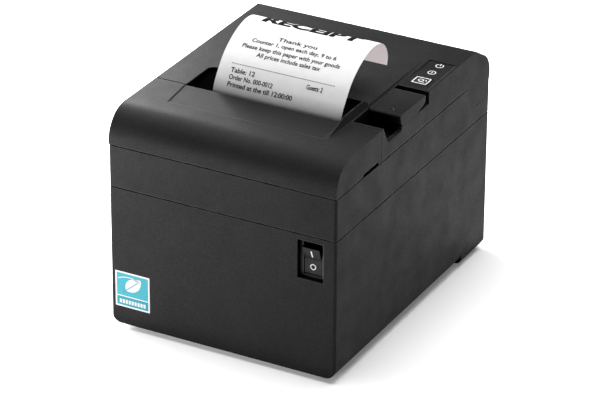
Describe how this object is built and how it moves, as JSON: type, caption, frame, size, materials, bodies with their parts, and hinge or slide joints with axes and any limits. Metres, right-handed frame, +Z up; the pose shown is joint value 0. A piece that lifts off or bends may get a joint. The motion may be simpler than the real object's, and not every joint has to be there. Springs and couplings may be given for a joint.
{
  "type": "receipt printer",
  "caption": "Compact desktop receipt printer: box case with a rounded front cover, hinged paper cover with lever, key panel, rocker switch and a printed strip curling from the slot.",
  "frame": {"origin": "on the table, under the middle of the case", "axes": "+Z up, +X to the right seen from the front, -Y towards the user; the case's depth runs along Y"},
  "size_m": [0.14, 0.1864, 0.1582],
  "materials": {
    "case_plastic": "fine spark-textured moulded plastic",
    "inner_plastic": "plain moulded plastic",
    "switch_plastic": "plain moulded plastic",
    "rocker_plastic": "polished moulded plastic",
    "key_plastic": "satin moulded plastic",
    "overlay_film": "satin printed film",
    "label_film": "printed film",
    "rubber": "plain",
    "rubber_roller": "ground",
    "steel": "turned",
    "spring_steel": "drawn wire",
    "blade_steel": "ground",
    "zinc_sheet": "zinc-plated sheet",
    "motor_can": "painted can",
    "port_steel": "tinned shell",
    "port_plastic": "plain moulded plastic",
    "circuit_board": "solder resist",
    "white_plastic": "natural acetal",
    "brass": "hobbed",
    "aluminium": "extruded",
    "ceramic": "glazed",
    "clear_plastic": "clear moulded",
    "paper": "coated white paper",
    "cardboard": "wound board"
  },
  "bodies": {
    "base": {"lower_case": "case_plastic", "upper_case": "case_plastic", "front_cover": "case_plastic", "rubber_feet": "rubber", "case_screws": "steel", "front_label": "label_film", "power_switch_body": "switch_plastic", "hinge_pin_left": "steel", "hinge_pin_right": "steel", "paper_bucket": "inner_plastic", "latch_pin": "steel", "mechanism_frame": "zinc_sheet", "head_pivot_rod": "steel", "feed_motor": "motor_can", "idler_stud": "steel", "cutter_frame": "zinc_sheet", "cutter_motor": "motor_can", "near_end_sensor": "inner_plastic", "paper_end_sensor": "inner_plastic", "main_board": "circuit_board", "interface_plate": "zinc_sheet", "dc_jack": "port_plastic", "usb_port": "port_steel", "ethernet_port": "port_steel", "drawer_port": "port_plastic", "serial_port": "port_steel", "paper_web": "paper", "head_spring_left": "spring_steel", "head_spring_right": "spring_steel"},
    "cover": {"paper_cover": "case_plastic", "lever_pivot_pin": "steel", "lever_spring": "spring_steel", "panel_overlay": "overlay_film", "panel_board": "circuit_board", "feed_switch": "inner_plastic", "light_pipe_power": "clear_plastic", "light_pipe_error": "clear_plastic", "receipt": "paper", "platen_bush_left": "white_plastic", "platen_bush_right": "white_plastic", "platen_bracket": "zinc_sheet", "fixed_blade": "blade_steel"},
    "lever": {"cover_lever": "case_plastic"},
    "key": {"feed_key": "key_plastic"},
    "rocker": {"power_rocker": "rocker_plastic"},
    "head": {"print_head": "ceramic", "head_heatsink": "aluminium"},
    "platen": {"platen_roller": "rubber_roller", "platen_shaft": "steel", "platen_gear": "white_plastic"},
    "idler": {"idler_gear": "white_plastic"},
    "motor_rotor": {"motor_pinion": "brass"},
    "roll": {"paper_roll": "paper", "roll_core": "cardboard"},
    "cutter_drive": {"cutter_pinion": "brass"},
    "blade": {"moving_blade": "blade_steel"}
  },
  "joints": [
    {"name": "cover_hinge", "type": "hinge", "parent": "base", "child": "cover", "pos_m": [0, 0.0783, 0.112], "axis": [-1, 0, 0], "range_deg": [0, 90]},
    {"name": "lever_pivot", "type": "hinge", "parent": "cover", "child": "lever", "pos_m": [0.056, 0.004, 0.12], "axis": [-1, 0, 0], "range_deg": [0, 14], "stiffness_Nm_per_rad": 0.35, "springref_deg": -6.88, "deforming": ["lever_spring"]},
    {"name": "feed_key_press", "type": "slide", "parent": "cover", "child": "key", "axis": [0, 0, -1], "range_m": [0, 0.0007], "stiffness_N_per_m": 600, "springref_m": -0.0006},
    {"name": "power_rock", "type": "hinge", "parent": "base", "child": "rocker", "pos_m": [0.0546, -0.0867, 0.07215], "axis": [-1, 0, 0], "range_deg": [0, 22]},
    {"name": "head_float", "type": "hinge", "parent": "base", "child": "head", "pos_m": [0, -0.0436, 0.0984], "axis": [1, 0, 0], "range_deg": [0, 2], "stiffness_Nm_per_rad": 6, "springref_deg": -2.86, "deforming": ["head_spring_left", "head_spring_right"]},
    {"name": "platen_spin", "type": "hinge", "parent": "cover", "child": "platen", "pos_m": [0, -0.0324, 0.1085], "axis": [1, 0, 0], "continuous": true},
    {"name": "idler_spin", "type": "hinge", "parent": "base", "child": "idler", "pos_m": [-0.0535, -0.03924, 0.08971], "axis": [1, 0, 0], "continuous": true},
    {"name": "feed_motor_spin", "type": "hinge", "parent": "base", "child": "motor_rotor", "pos_m": [-0.045, -0.05379, 0.08131], "axis": [1, 0, 0], "continuous": true},
    {"name": "roll_spin", "type": "hinge", "parent": "base", "child": "roll", "pos_m": [0.00375, 0.024, 0.06035], "axis": [1, 0, 0], "continuous": true},
    {"name": "cutter_spin", "type": "hinge", "parent": "base", "child": "cutter_drive", "pos_m": [0.01, -0.072, 0.118], "axis": [0, 0, 1], "range_deg": [0, 92.1]},
    {"name": "blade_slide", "type": "slide", "parent": "base", "child": "blade", "axis": [0, 1, 0], "range_m": [0, 0.009]}
  ],
  "couplings": [
    {"joint": "idler_spin", "follows": "platen_spin", "ratio": -0.66667},
    {"joint": "feed_motor_spin", "follows": "platen_spin", "ratio": 1.6667},
    {"joint": "roll_spin", "follows": "platen_spin", "ratio": 0.1579},
    {"joint": "cutter_spin", "follows": "blade_slide", "rad_per_m": 178.57}
  ]
}
